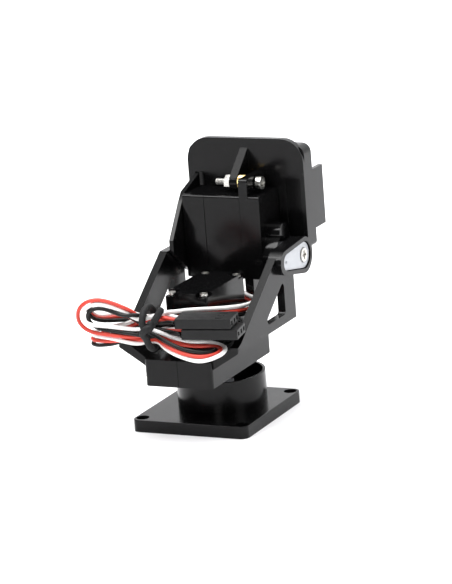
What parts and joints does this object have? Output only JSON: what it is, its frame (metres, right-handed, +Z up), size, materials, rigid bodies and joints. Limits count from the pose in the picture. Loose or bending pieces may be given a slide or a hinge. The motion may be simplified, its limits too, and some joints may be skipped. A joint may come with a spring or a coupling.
{
  "type": "pan tilt camera mount",
  "caption": "Two-axis hobby servo camera mount: square base with a turret, U bracket, tilting camera plate and tied-up servo leads.",
  "frame": {"origin": "centre of the base plate's underside", "axes": "+Z up, the way the mount stands; +Y the way the camera faces at rest; +X towards the tilt horn"},
  "size_m": [0.0466, 0.0683, 0.0698],
  "materials": {
    "bracket_plastic": "moulded black ABS, glossy, with fine wear",
    "servo_case": "moulded black plastic, satin",
    "servo_inside": "matt",
    "white_horn": "moulded white nylon, satin",
    "white_gear": "moulded white nylon, satin",
    "nickel_screws": "bright nickel plate",
    "brass_spacer": "knurled bright brass",
    "brass_pinion": "cut brass",
    "steel_parts": "drawn steel",
    "circuit_board": "solder-masked board",
    "lead_wire": "soft three-wire ribbon in white, red and black",
    "plug_housing": "moulded dark grey plastic, matt",
    "tie_jacket": "soft dark grey jacket"
  },
  "bodies": {
    "base": {"base_plate": "bracket_plastic", "pan_horn": "white_horn", "pan_horn_screw_near": "nickel_screws", "pan_horn_screw_far": "nickel_screws", "pan_centre_screw": "nickel_screws", "pan_servo_output_gear": "white_gear"},
    "pan": {"bracket_left": "bracket_plastic", "bracket_right": "bracket_plastic", "bracket_screw_near": "nickel_screws", "bracket_screw_far": "nickel_screws", "tilt_horn": "white_horn", "tilt_horn_screw": "nickel_screws", "tilt_pivot_screw": "nickel_screws", "pan_servo_bottom_cover": "servo_case", "pan_servo_middle_case": "servo_case", "pan_servo_gear_cover": "servo_case", "pan_servo_motor": "steel_parts", "pan_servo_potentiometer": "servo_inside", "pan_servo_circuit_board": "circuit_board", "pan_servo_gear_pin": "steel_parts", "pan_servo_case_screw_1": "nickel_screws", "pan_servo_case_screw_2": "nickel_screws", "pan_servo_case_screw_3": "nickel_screws", "pan_servo_case_screw_4": "nickel_screws", "tilt_servo_output_gear": "white_gear", "pan_lead": "lead_wire", "tilt_lead": "lead_wire", "lead_hank": "lead_wire", "lead_tie": "tie_jacket", "pan_plug": "plug_housing", "tilt_plug": "plug_housing"},
    "tilt": {"camera_plate": "bracket_plastic", "plate_bolt": "nickel_screws", "plate_nut": "nickel_screws", "plate_spacer": "brass_spacer", "tilt_servo_bottom_cover": "servo_case", "tilt_servo_middle_case": "servo_case", "tilt_servo_gear_cover": "servo_case", "tilt_servo_motor": "steel_parts", "tilt_servo_potentiometer": "servo_inside", "tilt_servo_circuit_board": "circuit_board", "tilt_servo_gear_pin": "steel_parts", "tilt_servo_case_screw_1": "nickel_screws", "tilt_servo_case_screw_2": "nickel_screws", "tilt_servo_case_screw_3": "nickel_screws", "tilt_servo_case_screw_4": "nickel_screws", "tilt_lead_exit": "lead_wire"},
    "pan_pinion": {"pan_servo_pinion": "brass_pinion"},
    "pan_gear_1": {"pan_servo_gear_1": "white_gear"},
    "pan_gear_2": {"pan_servo_gear_2": "white_gear"},
    "pan_gear_3": {"pan_servo_gear_3": "white_gear"},
    "tilt_pinion": {"tilt_servo_pinion": "brass_pinion"},
    "tilt_gear_1": {"tilt_servo_gear_1": "white_gear"},
    "tilt_gear_2": {"tilt_servo_gear_2": "white_gear"},
    "tilt_gear_3": {"tilt_servo_gear_3": "white_gear"}
  },
  "joints": [
    {"name": "pan", "type": "hinge", "parent": "base", "child": "pan", "pos_m": [0, 0.00365, 0.014], "axis": [0, 0, 1], "range_deg": [-90, 90]},
    {"name": "tilt", "type": "hinge", "parent": "pan", "child": "tilt", "pos_m": [0, 0.0211, 0.0398], "axis": [1, 0, 0], "range_deg": [-90, 60]},
    {"name": "pan_gear_3_turn", "type": "hinge", "parent": "pan", "child": "pan_gear_3", "pos_m": [0, -0.00195, 0.018], "axis": [0, 0, 1], "range_deg": [-225, 225]},
    {"name": "pan_gear_2_turn", "type": "hinge", "parent": "pan", "child": "pan_gear_2", "pos_m": [0, 0.00365, 0.018], "axis": [0, 0, 1], "range_deg": [-562.5, 562.5]},
    {"name": "pan_gear_1_turn", "type": "hinge", "parent": "pan", "child": "pan_gear_1", "pos_m": [0, -0.00195, 0.018], "axis": [0, 0, 1], "range_deg": [-1406.25, 1406.25]},
    {"name": "pan_pinion_turn", "type": "hinge", "parent": "pan", "child": "pan_pinion", "pos_m": [0, -0.00755, 0.018], "axis": [0, 0, 1], "range_deg": [-3515.62, 3515.62]},
    {"name": "tilt_gear_3_turn", "type": "hinge", "parent": "tilt", "child": "tilt_gear_3", "pos_m": [0.005, 0.0211, 0.0454], "axis": [1, 0, 0], "range_deg": [-225, 150]},
    {"name": "tilt_gear_2_turn", "type": "hinge", "parent": "tilt", "child": "tilt_gear_2", "pos_m": [0.005, 0.0211, 0.0398], "axis": [1, 0, 0], "range_deg": [-375, 562.5]},
    {"name": "tilt_gear_1_turn", "type": "hinge", "parent": "tilt", "child": "tilt_gear_1", "pos_m": [0.005, 0.0211, 0.0454], "axis": [1, 0, 0], "range_deg": [-1406.25, 937.5]},
    {"name": "tilt_pinion_turn", "type": "hinge", "parent": "tilt", "child": "tilt_pinion", "pos_m": [0.005, 0.0211, 0.051], "axis": [1, 0, 0], "range_deg": [-2343.75, 3515.62]}
  ],
  "couplings": [
    {"joint": "pan_gear_3_turn", "follows": "pan", "ratio": 2.5},
    {"joint": "pan_gear_2_turn", "follows": "pan", "ratio": -6.25},
    {"joint": "pan_gear_1_turn", "follows": "pan", "ratio": 15.625},
    {"joint": "pan_pinion_turn", "follows": "pan", "ratio": -39.062},
    {"joint": "tilt_gear_3_turn", "follows": "tilt", "ratio": 2.5},
    {"joint": "tilt_gear_2_turn", "follows": "tilt", "ratio": -6.25},
    {"joint": "tilt_gear_1_turn", "follows": "tilt", "ratio": 15.625},
    {"joint": "tilt_pinion_turn", "follows": "tilt", "ratio": -39.062}
  ]
}
